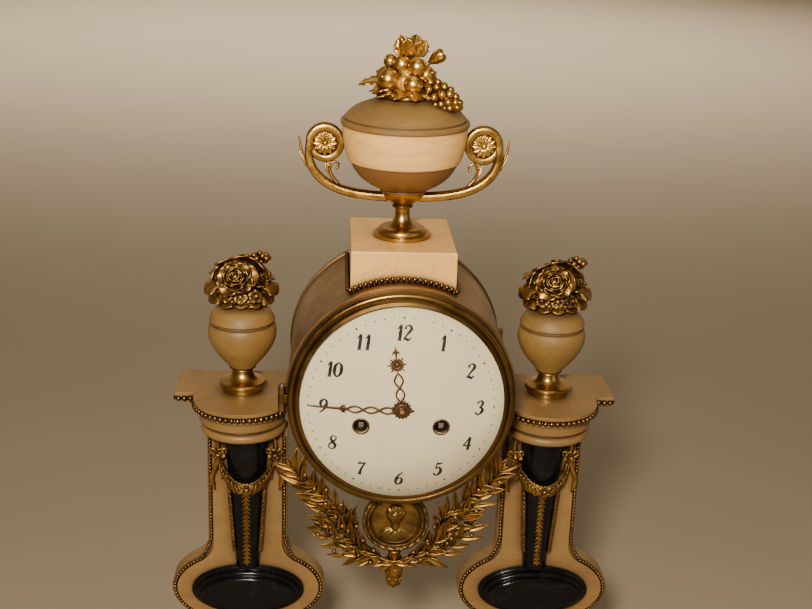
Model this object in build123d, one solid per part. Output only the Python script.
"""Portico mantel clock: a brass drum clock carried between two marble pillars.

Millimetres, +Z up, the dial faces -Y, and the origin is the middle of the
footprint on the surface that the clock stands on.
"""
from build123d import *
import os
from math import atan2, cos, degrees, hypot, pi, radians, sin, sqrt

# ---- Overall places ---------------------------------------------------------
DIAL_Z = 280.0          # height of the dial's centre
MOVEMENT_Z = DIAL_Z - 3.0   # the movement and dial sit a little low in the drum
BEZEL_Y = -61.6         # plane of the bezel's outer moulding
CORE_Y = BEZEL_Y + 67.5     # middle plane of the base and of the pillars

# ---- Base -------------------------------------------------------------------
FOOT_H = 18.0
FOOT_R = 11.0
FOOT_X = 138.0
FOOT_Y = 33.0
BASE_W = 344.0
BASE_D = 99.0
BASE_H = 26.0
BASE_TOP = FOOT_H + BASE_H
BLOCK_W = 68.0
BLOCK_D = 44.0
BLOCK_TOP = BASE_TOP + 24.0

# ---- Pillars ----------------------------------------------------------------
PILLAR_X = 111.0
NECK_HALF = 30.0
PILLAR_TOP = 232.0
BULB_Z = 98.0
BULB_A = 58.5           # half width of the bulb
BULB_B = 34.5           # half height of the bulb
SHOULDER_R = 15.0       # hollow curve between neck and bulb
SLAB_FRONT = BEZEL_Y + 60.0
SLAB_T = 16.0
RIM_W = 4.0             # rebate round the front edge, which holds the beads
RIM_D = 2.6
BOSS_A = 43.0
BOSS_B = 21.0
BOSS_STEP = 3.2
BOSS_RISE = 4.0
GAINE_TOP_R = 17.0
GAINE_FOOT_R = 9.0
GAINE_FOOT_Z = BULB_Z + BOSS_B + 0.1
ROD_R = 2.5
ROD_Y = SLAB_FRONT + 8.5

# ---- Capitals ---------------------------------------------------------------
CAPITAL_X = 114.5
CAPITAL_TOP = 256.3
EAR_X = 165.0           # outer end of the capital
EAR_FRONT = BEZEL_Y + 71.0
CAPITAL_BACK = BEZEL_Y + 117.0
CAPITAL_IN = 69.0       # inner end, before it is hollowed to the drum
BOW_R = 36.0            # bowed front of the top plate
BOW_Y = BEZEL_Y + 65.5

# ---- Drum, bezel and dial ---------------------------------------------------
DRUM_R = 80.0
DRUM_T = 2.0
DRUM_FRONT = BEZEL_Y + 9.0
DRUM_BACK = BEZEL_Y + 129.0
BEZEL_R = 79.5
SIGHT_R = 71.0          # clear opening of the bezel
GLASS_R = 73.0
GLASS_T = 1.4
GLASS_BULGE = 14.0
GLASS_EDGE_Y = BEZEL_Y + 0.2
DIAL_R = 74.0
DIAL_T = 2.2
DIAL_BULGE = 8.0
DIAL_Y = BEZEL_Y - 4.4
WIND_X = 27.9
WIND_DZ = -13.8
WIND_HOLE_R = 5.0
WIND_TIP_Y = DIAL_Y + 4.1
HINGE_X = 83.0
PIN_R = 1.2
KNUCKLE_R = 2.7
KNUCKLE_L = 6.0
DOOR_Y = DRUM_BACK + 0.2
DOOR_T = 2.0

# ---- Top urn and pedestal ---------------------------------------------------
PEDESTAL_W = 73.3
PEDESTAL_TOP = DIAL_Z + 100.7
PEDESTAL_FRONT = BEZEL_Y + 25.8
PEDESTAL_BACK = BEZEL_Y + 119.4
URN_Y = BEZEL_Y + 70.5
URN_BODY_Z = PEDESTAL_TOP + 33.3
URN_RIM_Z = PEDESTAL_TOP + 80.0
URN_LID_TOP = PEDESTAL_TOP + 98.8
FINIAL_TOP = PEDESTAL_TOP + 142.3
VOLUTE_X = 55.8
VOLUTE_Z = DIAL_Z + 167.0
VOLUTE_R = 11.6
HANDLE_T = 3.0
HANDLE_W = 5.0

# ---- Side urns --------------------------------------------------------------
SIDE_URN_X = 115.3
SIDE_URN_Y = BEZEL_Y + 80.0
SIDE_BODY_Z = CAPITAL_TOP + 18.2
SIDE_TOP = SIDE_BODY_Z + 94.0
BOUQUET_R = 26.0

# ---- Hanging mounts under the dial -----------------------------------------
MEDAL_R = 24.5
MEDAL_Z = DIAL_Z - DRUM_R - MEDAL_R - 1.2
MEDAL_Y = BEZEL_Y + 26.0
MEDAL_T = 5.0

# ---- Movement ---------------------------------------------------------------
PLATE_R = 56.0
PLATE_T = 2.5
POST_REACH = 51.5       # from the movement's centre to its posts and pillars
FRONT_PLATE_Y = BEZEL_Y + 22.0
BACK_PLATE_Y = BEZEL_Y + 58.0
RUNNING = 0.05          # radial clearance of every turning fit
CASE = (0.0, DIAL_Z)
CENTRE = (0.0, MOVEMENT_Z)
GOING = (WIND_X, MOVEMENT_Z + WIND_DZ)
STRIKE = (-WIND_X, MOVEMENT_Z + WIND_DZ)
THIRD = (9.0, MOVEMENT_Z + 12.0)
ESCAPE = (0.0, MOVEMENT_Z + 24.0)
ANCHOR = (0.0, MOVEMENT_Z + 37.0)
COUNT = (-WIND_X + 6.0, MOVEMENT_Z + WIND_DZ + 25.2)
MINUTE = (0.0, MOVEMENT_Z - 14.4)
HAMMER = (40.0, MOVEMENT_Z - 22.0)
BELL = (0.0, MOVEMENT_Z + 6.0)
BELL_POST = (-42.0, MOVEMENT_Z + 2.0)
BARREL_R = 17.0
WIND_ARBOR_R = 2.5
CENTRE_R = 1.5
ARBOR_R = 1.2
PIPE_R = 3.0
GREAT_TEETH = 60
CENTRE_PINION = 12
WHEEL_TEETH = 48
PINION_TEETH = 12
TRAIN_MODULE = 0.5
MINUTE_TEETH = 36
HOUR_TEETH = 40
MINUTE_PINION = 10
STRIKE_MODULE = 0.7
COUNT_PINION = 14
ESCAPE_TEETH = 24
ESCAPE_R = 9.0
PENDULUM_Y = BEZEL_Y + 69.0
BOB_Z = MOVEMENT_Z - 45.0
BOB_R = 14.0
BELL_R = 36.0
BELL_Y = BEZEL_Y + 84.0
BELL_H = 18.0

HOUR_HAND_Y = DIAL_Y - 1.2
MINUTE_HAND_Y = DIAL_Y - 3.2
HAND_T = 0.7
HOUR_HAND_BULGE = DIAL_BULGE
MINUTE_HAND_BULGE = DIAL_BULGE + 2.4
MINUTE_HAND_L = 64.0
HOUR_HAND_L = 46.0
MINUTE_ANGLE = 270.0    # clockwise from twelve, so the clock reads 11:45
HOUR_ANGLE = 352.5


# ---- Helpers ----------------------------------------------------------------
def save(node, *solids):
    """Write one node, which may be a group of separate solids."""
    shape = solids[0] if len(solids) == 1 else Compound(children=list(solids))
    export_step(shape, f"parts/{node}.step")


def wall(outline, front, depth):
    """An X-Z outline, extruded back from the plane y = front."""
    plane = Plane(origin=(0, front + depth, 0), x_dir=(1, 0, 0), z_dir=(0, -1, 0))
    return extrude(plane * outline, amount=depth)


def slab(outline, bottom, height):
    """An X-Y outline, extruded up from the plane z = bottom."""
    return extrude(Pos(0, 0, bottom) * outline, amount=height)


def shaft(place, radius, front, back):
    """A round bar along Y at place = (x, z)."""
    return wall(Pos(*place) * Circle(radius), front, back - front)


def bar(start, end, radius):
    """A round bar between two points in space."""
    start = Vector(*start)
    along = Vector(*end) - start
    plane = Plane(origin=start, z_dir=along.normalized())
    return extrude(plane * Circle(radius), amount=along.length)


def turned(profile, x, y):
    """Revolve an (r, z) profile round a vertical axis at x, y."""
    return Pos(x, y, 0) * revolve(Plane.XZ * profile, Axis.Z)


def turned_y(profile, place):
    """Revolve an (r, y) profile round a Y axis at place = (x, z)."""
    axis = Axis((0, 0, 0), (0, 1, 0))
    return Pos(place[0], 0, place[1]) * revolve(profile, axis)


def stepped(points):
    """A face bounded by straight edges through the points."""
    return make_face(Polyline(*points, close=True))


def both_sides(part):
    """The part at the left, and its mirror image at the right."""
    return part, mirror(part, Plane.YZ)


def gear(teeth, module, place, front, back, bore, phase):
    """A spur wheel with straight-flanked teeth; phase is a tooth's angle."""
    pitch = 360.0 / teeth
    root = module * (teeth / 2 - 1.25)
    tip = module * (teeth / 2 + 0.85)
    points = []
    for tooth in range(teeth):
        for share, radius in ((-0.29, root), (-0.12, tip), (0.12, tip), (0.29, root)):
            angle = radians(phase + (tooth + share) * pitch)
            points.append((radius * cos(angle), radius * sin(angle)))
    wheel = stepped(points)
    if bore:
        wheel -= Circle(bore)
    return wall(Pos(*place) * wheel, front, back - front)


def line_angle(start, end):
    """The direction from one arbor to another, in degrees."""
    return degrees(atan2(end[1] - start[1], end[0] - start[0]))


def meshed(phase, teeth, mate_teeth, start, end):
    """The phase that puts a mate's gap on the driver's tooth."""
    line = line_angle(start, end)
    return line + 180 + 180 / mate_teeth - (phase - line) * teeth / mate_teeth


# ---- Base -------------------------------------------------------------------
def base_slab():
    """The long marble base, with a smaller step round its top edge."""
    corner = 14.0
    step = 3.0
    step_h = 5.0
    lower = slab(Pos(0, CORE_Y) * RectangleRounded(BASE_W, BASE_D, corner), FOOT_H, BASE_H - step_h)
    upper = slab(
        Pos(0, CORE_Y) * RectangleRounded(BASE_W - 2 * step, BASE_D - 2 * step, corner - step),
        BASE_TOP - step_h, step_h,
    )
    lower = fillet(lower.faces().sort_by(Axis.Z)[-1].edges(), 2.0)
    upper = fillet(upper.faces().sort_by(Axis.Z)[-1].edges(), 2.0)
    body = lower + upper
    for side in (-1, 1):
        body -= Pos(side * PILLAR_X, ROD_Y, FOOT_H + BASE_H / 2) * Cylinder(ROD_R + 0.1, BASE_H + 2)
    return body


def foot(x, y):
    """One turned foot: a spinning-top shape under a disc."""
    neck = 5.0
    line = Polyline((0, 0), (neck - 1, 0), (neck, 1.5))
    bowl = Spline((neck, 1.5), (FOOT_R, 8.0), (neck + 2, FOOT_H - 4.5))
    cap = Polyline(
        (neck + 2, FOOT_H - 4.5), (FOOT_R, FOOT_H - 3.5), (FOOT_R, FOOT_H), (0, FOOT_H), (0, 0)
    )
    return turned(make_face(line + bowl + cap), x, y)


def pillar_block(side):
    """The plain block between the base and a pillar's bulb."""
    middle = Pos(side * PILLAR_X, CORE_Y)
    block = slab(middle * RectangleRounded(BLOCK_W, BLOCK_D, 3), BASE_TOP, BLOCK_TOP - BASE_TOP)
    block = chamfer(block.faces().sort_by(Axis.Z)[-1].edges(), 1.5)
    return block - Pos(side * PILLAR_X, ROD_Y, BASE_TOP) * Cylinder(ROD_R + 0.1, 80)


def tie_rod(side):
    """The rod that clamps base, block, pillar and capital, and its nut."""
    top = PILLAR_TOP + 12.0
    bottom = FOOT_H - 8.0
    rod = Pos(side * PILLAR_X, ROD_Y, (top + bottom) / 2) * Cylinder(ROD_R, top - bottom)
    nut = slab(RegularPolygon(5.5, 6) - Circle(ROD_R + 0.1), FOOT_H - 5.0, 5.0)
    return rod, Pos(side * PILLAR_X, ROD_Y, 0) * nut


# ---- Pillars ----------------------------------------------------------------
def keyhole(inset):
    """The pillar's face: a straight neck running into an oval bulb."""
    half = NECK_HALF - inset
    bulb = Pos(0, BULB_Z) * Ellipse(BULB_A - inset, BULB_B - inset)
    neck = Pos(0, (PILLAR_TOP + BULB_Z) / 2) * Rectangle(2 * half, PILLAR_TOP - BULB_Z)
    face = bulb + neck
    join_z = BULB_Z + (BULB_B - inset) * sqrt(1 - (half / (BULB_A - inset)) ** 2)
    corners = [v for v in face.vertices() if abs(v.Y - join_z) < 1.0]
    face = fillet(corners, SHOULDER_R + inset)
    above = Pos(0, (PILLAR_TOP + BLOCK_TOP) / 2) * Rectangle(2 * BULB_A + 2, PILLAR_TOP - BLOCK_TOP)
    return face & above


def pillar_slab(side):
    """One marble pillar, rebated round its front edge."""
    place = Pos(side * PILLAR_X, 0)
    back = wall(place * keyhole(0), SLAB_FRONT + RIM_D, SLAB_T - RIM_D)
    front = wall(place * keyhole(RIM_W), SLAB_FRONT, RIM_D)
    bore = Pos(side * PILLAR_X, ROD_Y, (PILLAR_TOP + BLOCK_TOP) / 2)
    return back + front - bore * Cylinder(ROD_R + 0.1, PILLAR_TOP - BLOCK_TOP + 2)


def pillar_bead_strip(side):
    """The strip that carries the beads, lying in the pillar's rebate."""
    ring = keyhole(0.8) - keyhole(RIM_W)
    return wall(Pos(side * PILLAR_X, 0) * ring, SLAB_FRONT + 0.2, RIM_D - 0.2)


def oval_boss(side):
    """The black oval, rising in three rounded steps."""
    body = None
    for step in range(3):
        inset = step * BOSS_STEP
        oval = Pos(side * PILLAR_X, BULB_Z) * Ellipse(BOSS_A - inset, BOSS_B - inset)
        rise = (step + 1) * BOSS_RISE
        layer = wall(oval, SLAB_FRONT - rise, rise)
        layer = fillet(layer.faces().sort_by(Axis.Y)[0].edges(), BOSS_STEP * 0.6)
        body = layer if body is None else body + layer
    return body


def gaine(side):
    """The black tapered half column on the pillar's neck."""
    height = PILLAR_TOP - GAINE_FOOT_Z
    cone = Cone(GAINE_FOOT_R, GAINE_TOP_R, height)
    cone = Pos(side * PILLAR_X, SLAB_FRONT, GAINE_FOOT_Z + height / 2) * cone
    front = Pos(side * PILLAR_X, SLAB_FRONT - 20, PILLAR_TOP - height / 2) * Box(50, 40, height + 2)
    return cone & front


def gaine_radius(z):
    """The half column's radius at a height."""
    share = (z - GAINE_FOOT_Z) / (PILLAR_TOP - GAINE_FOOT_Z)
    return GAINE_FOOT_R + (GAINE_TOP_R - GAINE_FOOT_R) * share


GARLAND_R = 2.0
GARLAND_HALF = 19.5
GARLAND_TURN_Z = PILLAR_TOP - 29.0
GARLAND_LOW_Z = PILLAR_TOP - 48.5
DROP_R = 1.8
DROP_TOP_Z = GARLAND_LOW_Z - 4.5
DROP_LOW_Z = GAINE_FOOT_Z + 16.0


def garland(side):
    """The swag hung across the half column, as a plain bent bar."""
    low_y = SLAB_FRONT - gaine_radius(GARLAND_LOW_Z) - GARLAND_R - 0.4
    turn_y = SLAB_FRONT - GARLAND_R - 2.2
    left = (-GARLAND_HALF, turn_y, GARLAND_TURN_Z)
    right = (GARLAND_HALF, turn_y, GARLAND_TURN_Z)
    arc = ThreePointArc(left, (0, low_y, GARLAND_LOW_Z), right)
    swag = sweep(Plane(origin=arc @ 0, z_dir=arc % 0) * Circle(GARLAND_R), path=arc)
    for x in (-GARLAND_HALF, GARLAND_HALF):
        swag += bar((x, turn_y, GARLAND_TURN_Z - 1), (x, turn_y, PILLAR_TOP - 0.4), GARLAND_R)
    return Pos(side * PILLAR_X, 0, 0) * swag


def drops(side):
    """Three chains down the half column: in front and at both sides."""
    chains = []
    for turn in (-68, 0, 68):
        ends = []
        for z in (DROP_TOP_Z, DROP_LOW_Z):
            reach = gaine_radius(z) + DROP_R + 0.2
            x = side * PILLAR_X + reach * sin(radians(turn))
            ends.append((x, SLAB_FRONT - reach * cos(radians(turn)), z))
        chains.append(bar(*ends, DROP_R))
    return chains


# ---- Capitals ---------------------------------------------------------------
def capital_plan(inset, ear):
    """A capital's plan at the left: a bowed front and a straight back."""
    bow = Pos(-CAPITAL_X, BOW_Y) * Circle(BOW_R - inset)
    outer = EAR_X - inset - ear
    back = CAPITAL_BACK - inset
    front = EAR_FRONT + inset + ear / 2
    block = Pos(-(outer + CAPITAL_IN) / 2, (front + back) / 2)
    return bow + block * Rectangle(outer - CAPITAL_IN, back - front)


CAPITAL_LAYERS = (      # inset, extra inset of the ears, height
    (0.0, 0.0, 2.6),    # top edge
    (2.8, 2.0, 4.6),    # recess behind the beads
    (2.0, 2.0, 1.6),    # fillet under the beads
    (4.2, 6.0, 7.4),    # fascia
    (6.4, 9.0, 1.6),    # groove
)
TORUS_R = 31.5
TORUS_H = CAPITAL_TOP - PILLAR_TOP - sum(layer[2] for layer in CAPITAL_LAYERS)


def drum_seat():
    """The space of the drum, which the capitals are hollowed to."""
    return shaft(CASE, DRUM_R + 0.1, DRUM_FRONT - 40, DRUM_BACK + 5)


def capital_left():
    """One capital: a moulded plate over a round torus."""
    top = CAPITAL_TOP
    body = None
    for inset, ear, height in CAPITAL_LAYERS:
        top -= height
        layer = slab(capital_plan(inset, ear), top, height)
        body = layer if body is None else body + layer
    torus = Pos(-CAPITAL_X + 1, BOW_Y - 3, PILLAR_TOP + TORUS_H / 2) * Cylinder(TORUS_R, TORUS_H)
    torus = fillet(torus.edges(), TORUS_H / 2 - 0.3)
    back_middle = Pos(-CAPITAL_X, (SLAB_FRONT + CAPITAL_BACK) / 2)
    back = slab(back_middle * Rectangle(58, 44), PILLAR_TOP, TORUS_H)
    body = body + torus + back - drum_seat()
    rod_hole = Pos(-PILLAR_X, ROD_Y, PILLAR_TOP + 6) * Cylinder(ROD_R + 0.1, 13)
    stud_hole = Pos(-SIDE_URN_X, SIDE_URN_Y, CAPITAL_TOP - 6) * Cylinder(2.6, 13)
    return body - rod_hole - stud_hole


def capital_bead_strip():
    """The strip for the beads round a capital's bowed front."""
    top = CAPITAL_TOP - CAPITAL_LAYERS[0][2] - 0.3
    ring = capital_plan(0.6, 0.6) - capital_plan(2.7, 1.9)
    front = Pos(-CAPITAL_X, EAR_FRONT - 24) * Rectangle(140, 76)
    strip = slab(ring & front, top - 4.0, 4.0)
    return strip - drum_seat()


# ---- Side urns --------------------------------------------------------------
def side_urn_foot():
    """The gilt foot of a side urn, with a stud into the capital."""
    z = CAPITAL_TOP
    rings = Polyline(
        (0, z - 10), (2.5, z - 10), (2.5, z), (15.2, z), (15.2, z + 3.4), (16.0, z + 4.0), (17.4, z + 4.6),
        (17.6, z + 6.4), (16.6, z + 7.4), (15.4, z + 7.8),
    )
    flare = Spline((15.4, z + 7.8), (9.4, z + 10.8), (7.4, z + 16.0))
    cup = Polyline((7.4, z + 16.0), (8.4, z + 16.8), (8.0, z + 17.6), (10, SIDE_BODY_Z), (0, SIDE_BODY_Z), (0, z - 10))
    return turned(make_face(rings + flare + cup), -SIDE_URN_X, SIDE_URN_Y)


def side_urn_body():
    """The marble body of a side urn, with its turned lid."""
    z = SIDE_BODY_Z
    bowl = Spline((9.0, z), (14.5, z + 6.5), (21.2, z + 15.5), (25.2, z + 26.5), (24.0, z + 34.5))
    groove = Polyline((24.0, z + 34.5), (22.4, z + 35.2), (22.4, z + 36.8), (24.2, z + 37.6))
    lid = Spline((24.2, z + 37.6), (21.6, z + 43.6), (12.0, z + 50.0))
    core = Polyline((12.0, z + 50.0), (0, z + 50.0), (0, z), (9.0, z))
    return turned(make_face(bowl + groove + lid + core), -SIDE_URN_X, SIDE_URN_Y)


def side_bouquet():
    """The plain outer shape of the flowers on a side urn."""
    z = SIDE_BODY_Z + 50.2
    rise = SIDE_TOP - z
    side = Spline((11.0, z), (BOUQUET_R, z + rise * 0.42), (BOUQUET_R * 0.6, z + rise * 0.9), (3, z + rise))
    core = Polyline((3, z + rise), (0, z + rise), (0, z), (11.0, z))
    return turned(make_face(side + core), -SIDE_URN_X, SIDE_URN_Y)


# ---- Pedestal and top urn ---------------------------------------------------
def pedestal():
    """The marble block on the drum, hollowed to fit over it."""
    low = DIAL_Z + 60.0
    depth = PEDESTAL_BACK - PEDESTAL_FRONT
    block = Pos(0, (PEDESTAL_FRONT + PEDESTAL_BACK) / 2, (low + PEDESTAL_TOP) / 2)
    body = block * Box(PEDESTAL_W, depth, PEDESTAL_TOP - low)
    body = fillet(body.faces().sort_by(Axis.Z)[-1].edges(), 1.2)
    body -= shaft(CASE, DRUM_R + 0.1, DRUM_FRONT, DRUM_BACK)
    return body - Pos(0, URN_Y, PEDESTAL_TOP - 6) * Cylinder(2.6, 13)


def pedestal_bead_strip():
    """The strip for the beads where the pedestal meets the drum."""
    arch = Circle(DRUM_R + 4.3) - Circle(DRUM_R + 0.15)
    half = PEDESTAL_W / 2 + 3.6
    inner = PEDESTAL_W / 2 + 0.1
    above = Pos(0, 80) * Rectangle(2 * half, 60)
    frame = wall(Pos(*CASE) * (arch & above), PEDESTAL_FRONT - 3.6, 100.8)
    gap_depth = PEDESTAL_BACK - PEDESTAL_FRONT + 0.2
    gap = Pos(0, (PEDESTAL_FRONT + PEDESTAL_BACK) / 2, DIAL_Z + 70)
    return frame - gap * Box(2 * inner, gap_depth, 60)


def urn_foot():
    """The gilt foot and cup that carry the top urn and its handles."""
    z = PEDESTAL_TOP
    ring = Polyline((0, z - 10), (2.5, z - 10), (2.5, z), (20.6, z), (20.6, z + 2.2), (19.4, z + 3.0), (17.6, z + 3.2))
    roll = ThreePointArc((17.6, z + 3.2), (16.8, z + 5.8), (13.6, z + 6.8))
    stem = Spline((13.6, z + 6.8), (8.0, z + 9.4), (5.4, z + 15.0), (5.6, z + 20.5))
    knop = Polyline((5.6, z + 20.5), (7.4, z + 21.3), (7.4, z + 22.7), (6.2, z + 23.5))
    cup = Spline((6.2, z + 23.5), (12.5, z + 27.5), (16.4, URN_BODY_Z))
    core = Polyline((16.4, URN_BODY_Z), (0, URN_BODY_Z), (0, z - 10))
    return turned(make_face(ring + roll + stem + knop + cup + core), 0, URN_Y)


def urn_body():
    """The marble bowl: a rounded underside and a nearly straight band."""
    z = URN_BODY_Z
    bead = Polyline((16.5, z), (17.2, z + 1.1), (16.6, z + 2.4), (20.6, z + 3.0), (22.6, z + 4.2))
    under = Spline((22.6, z + 4.2), (32.0, z + 11.0), (38.0, z + 20.5))
    step = Polyline((38.0, z + 20.5), (39.6, z + 21.8))
    band = ThreePointArc((39.6, z + 21.8), (43.2, z + 34.0), (43.8, URN_RIM_Z))
    core = Polyline((43.8, URN_RIM_Z), (0, URN_RIM_Z), (0, z), (16.5, z))
    return turned(make_face(bead + under + step + band + core), 0, URN_Y)


def urn_lid():
    """The marble lid, a low dome on a plain rim."""
    z = URN_RIM_Z + 0.1
    rim = Polyline(
        (0, z), (44.6, z), (45.2, z + 1.0), (45.2, z + 3.0), (44.0, z + 4.0), (42.6, z + 4.2),
        (42.9, z + 5.4), (41.6, z + 6.6),
    )
    dome = Spline((41.6, z + 6.6), (36.4, z + 11.4), (27.0, z + 15.6), (20.0, URN_LID_TOP))
    core = Polyline((20.0, URN_LID_TOP), (0, URN_LID_TOP), (0, z))
    return turned(make_face(rim + dome + core), 0, URN_Y)


def urn_finial():
    """The plain outer shape of the flowers and fruit on the lid."""
    z = URN_LID_TOP + 0.1
    rise = FINIAL_TOP - z
    side = Spline((19.0, z), (33.0, z + rise * 0.28), (19.0, z + rise * 0.66), (4.0, z + rise))
    core = Polyline((4.0, z + rise), (0, z + rise), (0, z), (19.0, z))
    return turned(make_face(side + core), 0, URN_Y)


def urn_handle():
    """One scrolled handle at the left: a bent strip ending in a volute."""
    start = (-10.0, URN_Y, URN_BODY_Z - 4.2)
    knee = (-62.0, URN_Y, DIAL_Z + 141.0)
    sweep_out = ThreePointArc(start, (-40.0, URN_Y, DIAL_Z + 131.8), knee)
    outer = TangentArc(knee, (-VOLUTE_X, URN_Y, VOLUTE_Z + VOLUTE_R - HANDLE_T / 2), tangent=sweep_out % 1)
    strip = None
    for path in (sweep_out, outer):
        section = Plane(origin=path @ 0, x_dir=(0, 1, 0), z_dir=path % 0) * Rectangle(HANDLE_W, HANDLE_T)
        piece = sweep(section, path=path)
        strip = piece if strip is None else strip + piece
    volute = shaft((-VOLUTE_X, VOLUTE_Z), VOLUTE_R, URN_Y - HANDLE_W / 2, URN_Y + HANDLE_W / 2)
    return strip + volute - urn_foot()


# ---- Drum, bezel and dial ---------------------------------------------------
def hinge_bore(side, y, radius):
    """The hole for a hinge pin, right through a row of knuckles."""
    return Pos(side * HINGE_X, y, DIAL_Z) * Cylinder(radius, 8 * KNUCKLE_L)


FRONT_HINGE_Y = BEZEL_Y + 6.0
BACK_HINGE_Y = DOOR_Y + DOOR_T / 2
KNUCKLE_PITCH = KNUCKLE_L + 0.3


def drum_case():
    """The brass drum: an open tube with mouldings and hinge knuckles."""
    front = DRUM_FRONT
    tube = stepped([
        (DRUM_R - DRUM_T, front), (DRUM_R + 0.9, front), (DRUM_R + 0.9, front + 2.4),
        (DRUM_R, front + 3.2), (DRUM_R, DRUM_BACK - 5.0), (DRUM_R + 1.5, DRUM_BACK - 4.2),
        (DRUM_R + 1.5, DRUM_BACK), (DRUM_R - DRUM_T, DRUM_BACK),
    ])
    body = turned_y(tube, CASE)
    for level in (-1, 1):
        z = DIAL_Z + level * KNUCKLE_PITCH
        front_arm = Pos(-HINGE_X + 0.4, FRONT_HINGE_Y + 3.5, z) * Box(4.4, 3.0, KNUCKLE_L)
        back_arm = Pos(HINGE_X - 0.4, BACK_HINGE_Y - 2.6, z) * Box(4.4, 3.4, KNUCKLE_L)
        body += front_arm + back_arm
        body += Pos(-HINGE_X, FRONT_HINGE_Y, z) * Cylinder(KNUCKLE_R, KNUCKLE_L)
        body += Pos(HINGE_X, BACK_HINGE_Y, z) * Cylinder(KNUCKLE_R, KNUCKLE_L)
    body -= hinge_bore(-1, FRONT_HINGE_Y, PIN_R)
    body -= hinge_bore(1, BACK_HINGE_Y, PIN_R)
    for side in (-1, 1):
        y = FRONT_HINGE_Y if side < 0 else BACK_HINGE_Y
        room = Pos(side * HINGE_X, y, DIAL_Z) * Cylinder(KNUCKLE_R + 0.5, KNUCKLE_L + 0.5)
        body -= room
    return body


def bezel():
    """The front door ring, moulded outside and rebated for its glass."""
    y = BEZEL_Y
    outer = Polyline((BEZEL_R, y + 8.8), (BEZEL_R, y + 5.6), (BEZEL_R - 0.9, y + 4.8))
    roll = ThreePointArc((BEZEL_R - 0.9, y + 4.8), (BEZEL_R - 0.7, y + 1.4), (BEZEL_R - 4.0, y + 0.5))
    slope = Polyline(
        (BEZEL_R - 4.0, y + 0.5), (BEZEL_R - 4.5, y + 0.9), (BEZEL_R - 6.2, y - 1.2),
        (SIGHT_R, y - 1.8), (SIGHT_R, y - 0.8), (GLASS_R + 0.3, y - 0.1),
        (GLASS_R + 0.3, y + 2.0), (DRUM_R - DRUM_T - 0.6, y + 3.0), (DRUM_R - DRUM_T - 0.6, y + 8.8),
        (BEZEL_R, y + 8.8),
    )
    ring = turned_y(make_face(outer + roll + slope), CASE)
    hinge = Pos(-HINGE_X, FRONT_HINGE_Y, DIAL_Z) * Cylinder(KNUCKLE_R, KNUCKLE_L)
    hinge += Pos(-HINGE_X + 2.4, FRONT_HINGE_Y - 0.6, DIAL_Z) * Box(4.4, 3.2, KNUCKLE_L)
    for level in (-1, 1):
        z = DIAL_Z + level * KNUCKLE_PITCH
        room = Pos(-HINGE_X, FRONT_HINGE_Y, z) * Cylinder(KNUCKLE_R + 0.5, KNUCKLE_L + 0.5)
        ring -= room
    return ring + hinge - hinge_bore(-1, FRONT_HINGE_Y, PIN_R + RUNNING)


def dome_face(radius, bulge, edge_y, thickness):
    """Half of a curved disc's section: a dome towards the front."""
    sphere = (radius ** 2 + bulge ** 2) / (2 * bulge)
    half_y = edge_y - bulge + sphere - sqrt(sphere ** 2 - radius ** 2 / 4)
    front = ThreePointArc((radius, edge_y), (radius / 2, half_y), (0, edge_y - bulge))
    back = ThreePointArc(
        (0, edge_y - bulge + thickness), (radius / 2, half_y + thickness),
        (radius, edge_y + thickness),
    )
    axis = Line((0, edge_y - bulge), (0, edge_y - bulge + thickness))
    edge = Line((radius, edge_y + thickness), (radius, edge_y))
    return make_face(front + axis + back + edge)


def bezel_glass():
    """The domed glass in the bezel."""
    return turned_y(dome_face(GLASS_R, GLASS_BULGE, GLASS_EDGE_Y, GLASS_T), CASE)


def hinge_pin(side, y):
    """A hinge pin through its knuckles."""
    length = 3 * KNUCKLE_L + 2.0
    return Pos(side * HINGE_X, y, DIAL_Z) * Cylinder(PIN_R, length)


def dial():
    """The enamel dial, with a centre hole and two winding holes."""
    face = turned_y(dome_face(DIAL_R, DIAL_BULGE, DIAL_Y + DIAL_BULGE, DIAL_T), CENTRE)
    for place in (GOING, STRIKE):
        face -= shaft(place, WIND_HOLE_R, DIAL_Y - 5, DIAL_Y + 12)
    return face - shaft(CENTRE, PIPE_R + 1.2, DIAL_Y - 5, DIAL_Y + 12)


def dial_plate():
    """The plate behind the dial, with the posts that hold the movement."""
    front = DIAL_Y + DIAL_BULGE + DIAL_T + 0.1
    step = BEZEL_Y + 9.2
    middle = Circle(POST_REACH - 4.0)
    body = wall(Pos(*CENTRE) * (Circle(DIAL_R) - middle), front, step - front)
    inside = Pos(*CASE) * Circle(DRUM_R - DRUM_T - 0.1) - Pos(*CENTRE) * middle
    body += wall(inside, step, 2.0)
    for turn in (45, 135, 225, 315):
        place = (POST_REACH * cos(radians(turn)), MOVEMENT_Z + POST_REACH * sin(radians(turn)))
        body += shaft(place, 2.6, step, FRONT_PLATE_Y)
    return body


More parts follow.
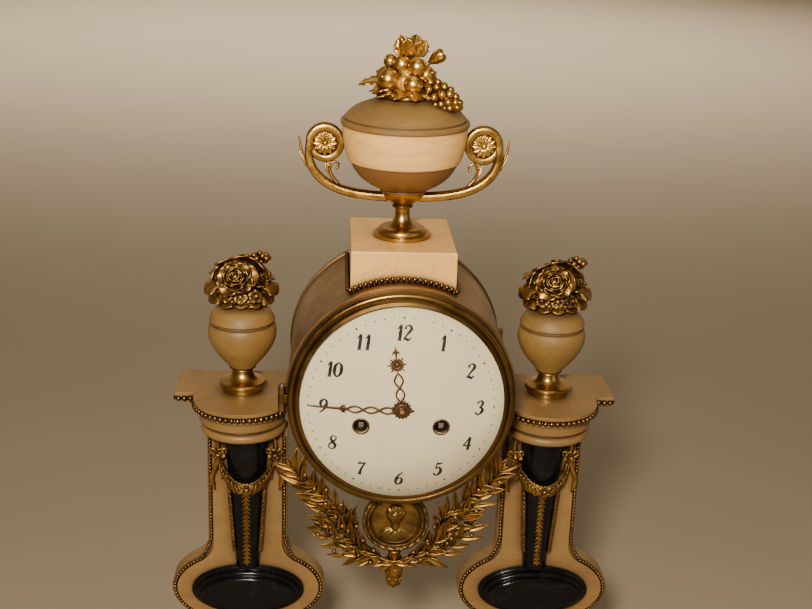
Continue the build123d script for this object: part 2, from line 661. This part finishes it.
def back_door():
    """The round back cover, with its knuckle and a pull knob."""
    body = shaft(CASE, DRUM_R + 1.0, DOOR_Y, DOOR_Y + DOOR_T)
    knob_place = (-DRUM_R + 12.0, DIAL_Z)
    body += shaft(knob_place, 2.2, DOOR_Y + DOOR_T, DOOR_Y + DOOR_T + 4.0)
    body += shaft(knob_place, 4.5, DOOR_Y + DOOR_T + 3.0, DOOR_Y + DOOR_T + 5.8)
    for level in (-1, 1):
        z = DIAL_Z + level * KNUCKLE_PITCH
        body -= Pos(HINGE_X, BACK_HINGE_Y, z) * Cylinder(KNUCKLE_R + 0.5, KNUCKLE_L + 0.5)
        body -= Pos(HINGE_X - 1, DOOR_Y, z) * Box(7.0, 2 * DOOR_T + 2, KNUCKLE_L + 0.5)
    body += Pos(HINGE_X, BACK_HINGE_Y, DIAL_Z) * Cylinder(KNUCKLE_R, KNUCKLE_L)
    body += Pos(HINGE_X - 2.2, BACK_HINGE_Y, DIAL_Z) * Box(4.4, DOOR_T, KNUCKLE_L)
    return body - hinge_bore(1, BACK_HINGE_Y, PIN_R + RUNNING)


# ---- Hanging mounts ---------------------------------------------------------
def medallion():
    """The round plaque under the bezel: a raised rim round a flat field."""
    place = (0, MEDAL_Z)
    rim = shaft(place, MEDAL_R, MEDAL_Y, MEDAL_Y + MEDAL_T)
    rim -= shaft(place, MEDAL_R - 5.5, MEDAL_Y - 1, MEDAL_Y + 2.5)
    return rim


def laurel(side):
    """The plain outer shape of one leafy spray below the bezel."""
    near = DRUM_R + 1.4
    begin, end, steps = -32.0, -82.0, 5
    tip_reach, root_reach = 104.0, 139.0
    outline = [(0, 0)]
    for step in range(steps + 1):
        share = step / steps
        turn = radians(begin + (end - begin) * share)
        reach = tip_reach + (root_reach - tip_reach) * share
        outline.append((side * reach * cos(turn), reach * sin(turn)))
    spray = stepped(outline) - Circle(near)
    body = wall(Pos(*CASE) * spray, MEDAL_Y, 6.0)
    return body - shaft((0, MEDAL_Z), MEDAL_R + 0.3, MEDAL_Y - 1, MEDAL_Y + 10)


def pendant():
    """The plain outer shape of the leaf tuft under the medallion."""
    top = MEDAL_Z - MEDAL_R - 0.2
    outline = stepped([(-9, top), (9, top), (6, top - 22), (0, top - 29), (-6, top - 22)])
    return wall(outline, MEDAL_Y, 6.0)


# ---- Movement ---------------------------------------------------------------
BETWEEN_FRONT = FRONT_PLATE_Y + PLATE_T
PIVOTS = (              # place, radius, through the front plate, through the back plate
    (CENTRE, CENTRE_R, True, True),
    (GOING, WIND_ARBOR_R, True, True),
    (STRIKE, WIND_ARBOR_R, True, True),
    (THIRD, ARBOR_R, True, True),
    (ESCAPE, ARBOR_R, True, True),
    (ANCHOR, ARBOR_R, True, True),
    (COUNT, ARBOR_R, True, True),
    (MINUTE, ARBOR_R, True, False),
    (HAMMER, ARBOR_R, False, True),
)
GREAT_MODULE = 2 * hypot(GOING[0] - CENTRE[0], GOING[1] - CENTRE[1]) / (GREAT_TEETH + CENTRE_PINION)
MOTION_REACH = CENTRE[1] - MINUTE[1]
CANNON_MODULE = 2 * MOTION_REACH / (CENTRE_PINION + MINUTE_TEETH)
HOUR_MODULE = 2 * MOTION_REACH / (MINUTE_PINION + HOUR_TEETH)


def movement_plate(front, is_front):
    """One movement plate with its pivot holes."""
    plate = shaft(CENTRE, PLATE_R, front, front + PLATE_T)
    for place, radius, in_front, in_back in PIVOTS:
        if in_front if is_front else in_back:
            plate -= shaft(place, radius + RUNNING, front - 1, front + PLATE_T + 1)
    return plate


def plate_pillars():
    """The four turned pillars that hold the plates apart."""
    pillars = []
    for turn in (60, 120, 240, 300):
        place = (POST_REACH * cos(radians(turn)), MOVEMENT_Z + POST_REACH * sin(radians(turn)))
        pillars.append(shaft(place, 2.4, BETWEEN_FRONT, BACK_PLATE_Y))
    return pillars


def barrel(place, wheel_front, module, phase):
    """A spring barrel with its great wheel, free on its arbor."""
    drum_front = BEZEL_Y + 30.0
    drum_back = BEZEL_Y + 52.2
    drum = shaft(place, BARREL_R, drum_front, drum_back)
    wheel = gear(GREAT_TEETH, module, place, wheel_front, wheel_front + 3.0, 0, phase)
    return drum + wheel - shaft(place, WIND_ARBOR_R + RUNNING, BEZEL_Y + 20, BEZEL_Y + 60)


def winding_arbor(place):
    """A winding arbor: round through the plates, square at the front."""
    arbor = shaft(place, WIND_ARBOR_R, BEZEL_Y + 17.0, BACK_PLATE_Y + PLATE_T)
    square = wall(Pos(*place) * Rectangle(3.4, 3.4), WIND_TIP_Y, BEZEL_Y + 17.2 - WIND_TIP_Y)
    return arbor + square


def centre_arbor():
    """The minute arbor with its two pinions and the centre wheel."""
    body = shaft(CENTRE, CENTRE_R, MINUTE_HAND_Y - 2.0, BACK_PLATE_Y + PLATE_T)
    body += shaft(CENTRE, 2.4, MINUTE_HAND_Y + HAND_T, BEZEL_Y + 21.6)
    body += gear(CENTRE_PINION, GREAT_MODULE, CENTRE, BEZEL_Y + 26.5, BEZEL_Y + 31.0, 0, 0)
    body += gear(WHEEL_TEETH, TRAIN_MODULE, CENTRE, BEZEL_Y + 34.0, BEZEL_Y + 35.5, 0, 0)
    body += gear(CENTRE_PINION, CANNON_MODULE, CENTRE, BEZEL_Y + 18.8, BEZEL_Y + 21.6, 0, 0)
    return body


def third_wheel():
    """The third arbor: a pinion driven by the centre wheel, and a wheel."""
    phase = meshed(0, WHEEL_TEETH, PINION_TEETH, CENTRE, THIRD)
    body = shaft(THIRD, ARBOR_R, FRONT_PLATE_Y, BACK_PLATE_Y + PLATE_T)
    body += gear(PINION_TEETH, TRAIN_MODULE, THIRD, BEZEL_Y + 33.0, BEZEL_Y + 36.5, 0, phase)
    return body + gear(WHEEL_TEETH, TRAIN_MODULE, THIRD, BEZEL_Y + 40.0, BEZEL_Y + 41.5, 0, 0)


def escape_wheel():
    """The escape arbor: a pinion driven by the third wheel, and the wheel."""
    phase = meshed(0, WHEEL_TEETH, PINION_TEETH, THIRD, ESCAPE)
    body = shaft(ESCAPE, ARBOR_R, FRONT_PLATE_Y, BACK_PLATE_Y + PLATE_T)
    body += gear(PINION_TEETH, TRAIN_MODULE, ESCAPE, BEZEL_Y + 39.0, BEZEL_Y + 42.5, 0, phase)
    points = []
    for tooth in range(ESCAPE_TEETH):
        for share, radius in ((0.0, ESCAPE_R - 2.2), (0.55, ESCAPE_R), (0.65, ESCAPE_R)):
            angle = 2 * pi * (tooth + share) / ESCAPE_TEETH
            points.append((radius * cos(angle), radius * sin(angle)))
    return body + wall(Pos(*ESCAPE) * stepped(points), BEZEL_Y + 48.0, 1.5)


def anchor():
    """The anchor with its two pallets, and the crutch behind the plate."""
    x, z = ANCHOR
    body = shaft(ANCHOR, ARBOR_R, FRONT_PLATE_Y, BEZEL_Y + 65.5)
    body += shaft(ANCHOR, 2.6, BEZEL_Y + 47.6, BEZEL_Y + 49.9)
    for side in (-1, 1):
        tip = (x + side * 8.3, BEZEL_Y + 48.75, z - 6.3)
        body += bar((x, BEZEL_Y + 48.75, z), tip, 1.0)
        body += Pos(*tip) * Rot(0, side * 50, 0) * Box(1.6, 2.2, 1.6)
    crutch_y = BEZEL_Y + 64.6
    body += bar((x, crutch_y, z), (x, crutch_y, z - 24), 0.9)
    body += Pos(x, crutch_y, z - 24) * Box(5.6, 1.8, 2.0)
    for side in (-1, 1):
        body += bar((x + side * 2.1, crutch_y, z - 24), (x + side * 2.1, PENDULUM_Y + 2, z - 24), 0.6)
    return body


def pendulum():
    """The pendulum: rod and bob, hung from the cock behind the plates."""
    x, z = ANCHOR
    body = Pos(x, PENDULUM_Y, z - 4) * Box(1.6, 0.6, 8.0)
    body += bar((x, PENDULUM_Y, z - 7), (x, PENDULUM_Y, BOB_Z), 1.2)
    lens = make_face(
        ThreePointArc((0, PENDULUM_Y - 4), (BOB_R * 0.6, PENDULUM_Y - 2.9), (BOB_R, PENDULUM_Y))
        + ThreePointArc((BOB_R, PENDULUM_Y), (BOB_R * 0.6, PENDULUM_Y + 2.9), (0, PENDULUM_Y + 4))
        + Line((0, PENDULUM_Y + 4), (0, PENDULUM_Y - 4))
    )
    return body + turned_y(lens, (x, BOB_Z))


def back_cocks():
    """The pendulum cock and the bell stand, both on the back plate."""
    x, z = ANCHOR
    plate_back = BACK_PLATE_Y + PLATE_T
    arm = Pos(x, (plate_back + PENDULUM_Y + 3) / 2, z + 4.4)
    cock = arm * Box(12, PENDULUM_Y + 3 - plate_back, 4.0)
    foot_plate = Pos(x, plate_back + 0.6, z + 6.6) * Box(18, 1.2, 8.4)
    for side in (-1, 1):
        cock += Pos(x + side * 2.2, PENDULUM_Y, z + 1.2) * Box(2.4, 5.0, 4.0)
    bell_back = BELL_Y + BELL_H
    stand = shaft(BELL_POST, 2.5, plate_back, bell_back + 5.0)
    stand += bar((BELL_POST[0], bell_back + 3.0, BELL_POST[1]), (BELL[0], bell_back + 3.0, BELL[1]), 1.8)
    stand += shaft(BELL, 3.6, bell_back + 0.2, bell_back + 5.5)
    stand += shaft(BELL, 2.0, bell_back - 5.0, bell_back + 1.0)
    return cock + foot_plate, stand


def bell():
    """The cup-shaped bell, open towards the plates."""
    y = BELL_Y
    outer = Spline((BELL_R, y), (BELL_R - 2.5, y + 7), (BELL_R * 0.55, y + 15.6), (2.05, y + BELL_H))
    inner = Spline((2.05, y + 16.2), (BELL_R * 0.52, y + 13.6), (BELL_R - 4.4, y + 6), (BELL_R - 2.2, y))
    hub = Line((2.05, y + BELL_H), (2.05, y + 16.2))
    lip = Line((BELL_R - 2.2, y), (BELL_R, y))
    return turned_y(make_face(outer + hub + inner + lip), BELL)


def hammer():
    """The bell hammer: arbor, arm and head beside the bell's rim."""
    x, z = HAMMER
    head_y = BELL_Y + 3.0
    body = shaft(HAMMER, ARBOR_R, BACK_PLATE_Y, head_y + 2.0)
    arm_x = BELL_R + 7.0
    arm = stepped([(x - 1.1, z), (x + 1.1, z), (arm_x + 1.1, BELL[1] - 1), (arm_x - 1.1, BELL[1] - 1)])
    body += wall(arm, head_y - 1.0, 2.0)
    head = Pos(BELL_R + 5.6, head_y, BELL[1]) * Rot(0, 90, 0) * Cylinder(4.2, 9.0)
    return body + head


def count_wheel():
    """The count wheel outside the back plate, on its driven arbor."""
    phase = meshed(0, GREAT_TEETH, COUNT_PINION, STRIKE, COUNT)
    body = shaft(COUNT, ARBOR_R, FRONT_PLATE_Y, BEZEL_Y + 64.5)
    body += gear(COUNT_PINION, STRIKE_MODULE, COUNT, BEZEL_Y + 51.6, BEZEL_Y + 55.4, 0, phase)
    wheel = Circle(15.0)
    notch_turn = 0
    for hour in range(1, 13):
        notch_turn += 360.0 * (hour + 1) / 90
        wheel -= Rot(0, 0, notch_turn) * Pos(15.0, 0) * Rectangle(3.0, 1.6)
    return body + wall(Pos(*COUNT) * wheel, BEZEL_Y + 62.0, 1.5)


def minute_wheel():
    """The motion wheel that gears the hour hand down."""
    phase = meshed(0, CENTRE_PINION, MINUTE_TEETH, CENTRE, MINUTE)
    body = shaft(MINUTE, ARBOR_R, BEZEL_Y + 15.0, FRONT_PLATE_Y + PLATE_T)
    body += gear(MINUTE_TEETH, CANNON_MODULE, MINUTE, BEZEL_Y + 19.2, BEZEL_Y + 21.2, 0, phase)
    return body + gear(MINUTE_PINION, HOUR_MODULE, MINUTE, BEZEL_Y + 15.4, BEZEL_Y + 19.2, 0, 0)


def hour_wheel():
    """The hour wheel and its pipe, which carries the hour hand."""
    phase = meshed(0, MINUTE_PINION, HOUR_TEETH, MINUTE, CENTRE)
    body = gear(HOUR_TEETH, HOUR_MODULE, CENTRE, BEZEL_Y + 16.0, BEZEL_Y + 18.4, 0, phase)
    body += shaft(CENTRE, PIPE_R, HOUR_HAND_Y - 0.4, BEZEL_Y + 18.4)
    return body - shaft(CENTRE, 2.4 + RUNNING, MINUTE_HAND_Y, BEZEL_Y + 25)


def hand(length, tail, boss, bore, front, bulge, angle):
    """A plain tapered hand, curved like the dial, turned clockwise from twelve."""
    blade = stepped([(-2.0, 0), (-0.5, length), (0.5, length), (2.0, 0), (1.2, -tail), (-1.2, -tail)])
    outline = Rot(0, 0, -angle) * (blade + Circle(boss)) - Circle(bore)
    shell = turned_y(dome_face(DIAL_R, bulge, front + bulge, HAND_T), CENTRE)
    return wall(Pos(*CENTRE) * outline, front - 1, bulge + 4) & shell


def minute_hand():
    """The minute hand with the nut that holds it."""
    blade = hand(
        MINUTE_HAND_L, 4.0, 5.4, CENTRE_R, MINUTE_HAND_Y, MINUTE_HAND_BULGE, MINUTE_ANGLE
    )
    nut = Pos(*CENTRE) * (RegularPolygon(3.2, 8) - Circle(CENTRE_R))
    return blade + wall(nut, MINUTE_HAND_Y - 1.6, 1.7)


def hour_hand():
    """The hour hand, fixed on the hour wheel's pipe."""
    return hand(HOUR_HAND_L, 5.0, 5.6, PIPE_R, HOUR_HAND_Y, HOUR_HAND_BULGE, HOUR_ANGLE)


# ---- Build ------------------------------------------------------------------
def main():
    os.makedirs("parts", exist_ok=True)
    sides = {"left": -1, "right": 1}

    save("base_slab", base_slab())
    feet = [foot(x, CORE_Y + y) for x in (-FOOT_X, 0, FOOT_X) for y in (-FOOT_Y, FOOT_Y)]
    save("base_feet", *feet)
    save("pillar_blocks", pillar_block(-1), pillar_block(1))
    save("tie_rods", *tie_rod(-1), *tie_rod(1))
    save("pillar_bead_strips", pillar_bead_strip(-1), pillar_bead_strip(1))
    save("column_garlands", garland(-1), garland(1))
    save("column_drops", *drops(-1), *drops(1))
    for name, side in sides.items():
        save(f"pillar_slab_{name}", pillar_slab(side))
        save(f"oval_boss_{name}", oval_boss(side))
        save(f"gaine_{name}", gaine(side))

    mirrored = {
        "capital": capital_left, "side_urn_body": side_urn_body,
        "side_bouquet": side_bouquet, "urn_handle": urn_handle,
    }
    for name, make in mirrored.items():
        for where, piece in zip(sides, both_sides(make())):
            save(f"{name}_{where}", piece)
    save("side_urn_feet", *both_sides(side_urn_foot()))
    save("capital_bead_strips", *both_sides(capital_bead_strip()))

    save("pedestal", pedestal())
    save("pedestal_bead_strip", pedestal_bead_strip())
    save("urn_foot", urn_foot())
    save("urn_body", urn_body())
    save("urn_lid", urn_lid())
    save("urn_finial", urn_finial())

    save("drum_case", drum_case())
    save("bezel", bezel())
    save("bezel_glass", bezel_glass())
    save("bezel_hinge_pin", hinge_pin(-1, FRONT_HINGE_Y))
    save("dial", dial())
    save("dial_plate", dial_plate())
    save("back_door", back_door())
    save("back_hinge_pin", hinge_pin(1, BACK_HINGE_Y))
    save("medallion", medallion())
    save("laurel_sprays", laurel(-1), laurel(1))
    save("pendant_tuft", pendant())

    save("front_plate", movement_plate(FRONT_PLATE_Y, True))
    save("back_plate", movement_plate(BACK_PLATE_Y, False))
    save("plate_pillars", *plate_pillars())
    going_phase = meshed(0, CENTRE_PINION, GREAT_TEETH, CENTRE, GOING)
    save("going_barrel", barrel(GOING, BEZEL_Y + 27.2, GREAT_MODULE, going_phase))
    save("strike_barrel", barrel(STRIKE, BEZEL_Y + 52.0, STRIKE_MODULE, 0))
    save("going_arbor", winding_arbor(GOING))
    save("strike_arbor", winding_arbor(STRIKE))
    save("centre_arbor", centre_arbor())
    save("third_wheel", third_wheel())
    save("escape_wheel", escape_wheel())
    save("anchor", anchor())
    save("pendulum", pendulum())
    save("back_cocks", *back_cocks())
    save("bell", bell())
    save("hammer", hammer())
    save("count_wheel", count_wheel())
    save("minute_wheel", minute_wheel())
    save("hour_wheel", hour_wheel())
    save("minute_hand", minute_hand())
    save("hour_hand", hour_hand())


main()
